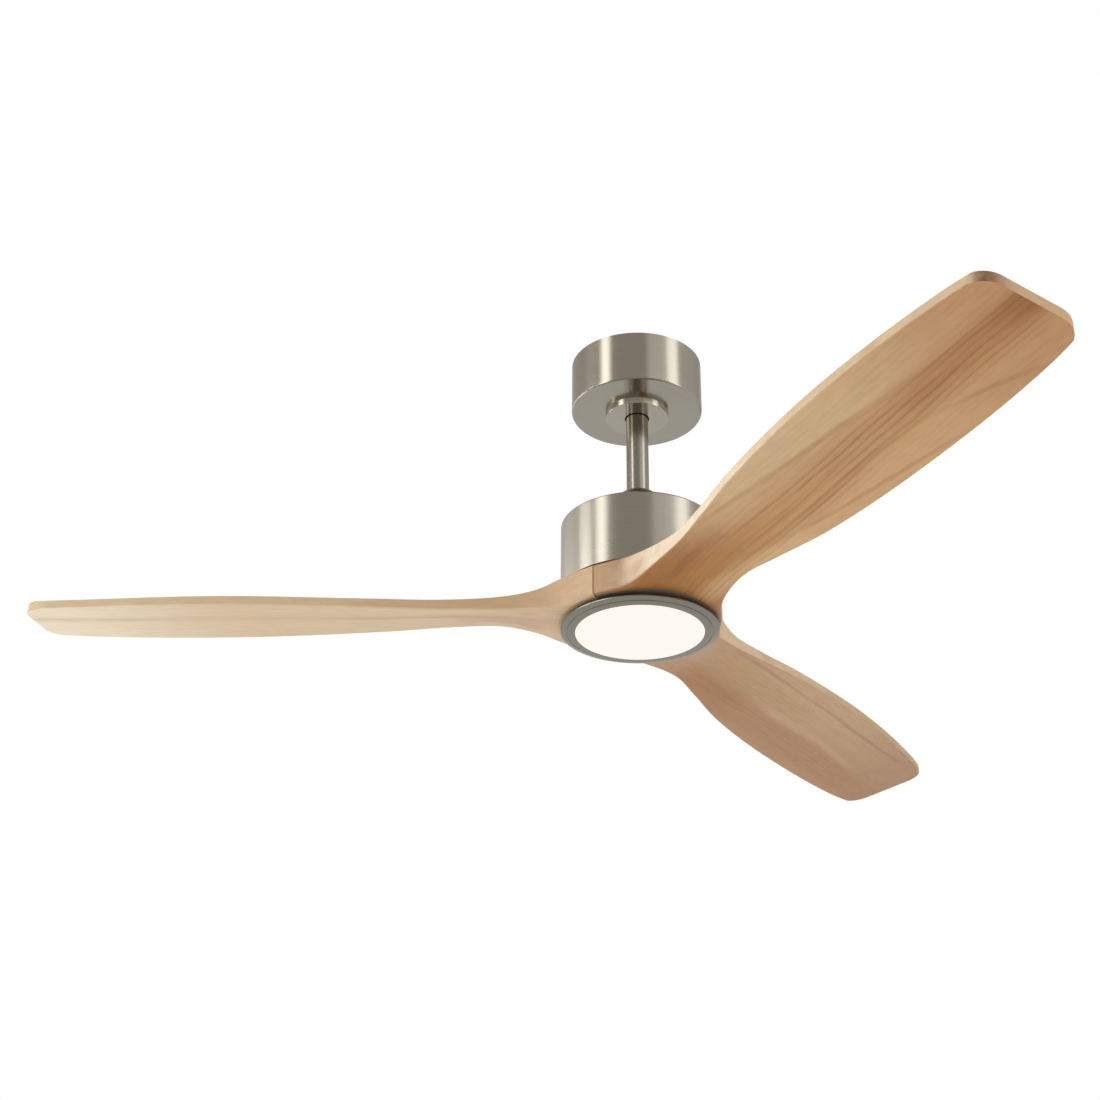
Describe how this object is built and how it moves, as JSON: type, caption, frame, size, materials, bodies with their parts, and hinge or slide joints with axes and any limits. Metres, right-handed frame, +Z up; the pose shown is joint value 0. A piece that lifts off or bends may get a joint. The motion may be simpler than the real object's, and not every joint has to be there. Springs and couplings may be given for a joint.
{
  "type": "ceiling fan with light",
  "caption": "Ceiling fan on a short rod: round metal canopy and motor housing, carved light wood blades that meet round the hub, and a flat round opal light below.",
  "frame": {"origin": "on the ceiling plane, midway between the bracket's two screw slots, on the fan's axis", "axes": "+Z up into the ceiling along the fan's axis, +X along the line of the bracket's slots and of the hanger's tilt axis, +Y square to both"},
  "size_m": [1.0326, 1.1787, 0.3418],
  "materials": {
    "nickel": "satin brushed nickel",
    "trim": "satin brushed nickel, turned",
    "wood": "clear matt lacquer on light solid wood",
    "plated_steel": "zinc plated",
    "bearing_steel": "ground",
    "core_steel": "stacked sheets",
    "magnet": "sintered",
    "copper": "enamelled copper wire",
    "cast_alloy": "as cast",
    "black_nylon": "moulded",
    "box_plastic": "moulded",
    "terminal_plastic": "moulded",
    "rubber": "cut sheet",
    "white_pan": "white powder coat",
    "board": "white solder mask",
    "lamp": "moulded",
    "opal": "satin opal"
  },
  "bodies": {
    "ceiling_mount": {"mounting_bracket": "plated_steel", "canopy": "nickel", "canopy_cover": "nickel", "canopy_screws": "plated_steel", "receiver_box": "box_plastic", "terminal_block": "terminal_plastic"},
    "hanging": {"hanger_ball": "black_nylon", "hanger_pin": "plated_steel", "ball_set_screw": "plated_steel", "downrod": "nickel", "yoke": "cast_alloy", "yoke_pin": "plated_steel", "yoke_pin_clip": "plated_steel", "yoke_set_screws": "plated_steel", "coupling_cover": "nickel", "motor_housing": "nickel", "housing_screws": "plated_steel", "motor_shaft": "plated_steel", "stator_core": "core_steel", "stator_coils": "copper", "shaft_circlip": "plated_steel", "light_pan": "white_pan", "shaft_nut": "plated_steel", "led_driver": "box_plastic", "led_board": "board", "leds": "lamp", "light_screws": "plated_steel", "diffuser": "opal", "trim_ring": "trim"},
    "rotor": {"rotor_top_cover": "cast_alloy", "rotor_bottom_cover": "cast_alloy", "rotor_screws": "plated_steel", "magnet_ring": "magnet", "upper_bearing": "bearing_steel", "lower_bearing": "bearing_steel", "blade_gasket": "rubber", "blade_1": "wood", "blade_2": "wood", "blade_3": "wood", "blade_screws": "plated_steel", "blade_washers": "plated_steel"}
  },
  "joints": [
    {"name": "hanger_tilt", "type": "hinge", "parent": "ceiling_mount", "child": "hanging", "pos_m": [0, 0, -0.036], "axis": [1, 0, 0], "range_deg": [-1.5, 1.5]},
    {"name": "rotor_spin", "type": "hinge", "parent": "hanging", "child": "rotor", "pos_m": [0, 0, -0.2], "axis": [0, 0, -1], "continuous": true}
  ]
}
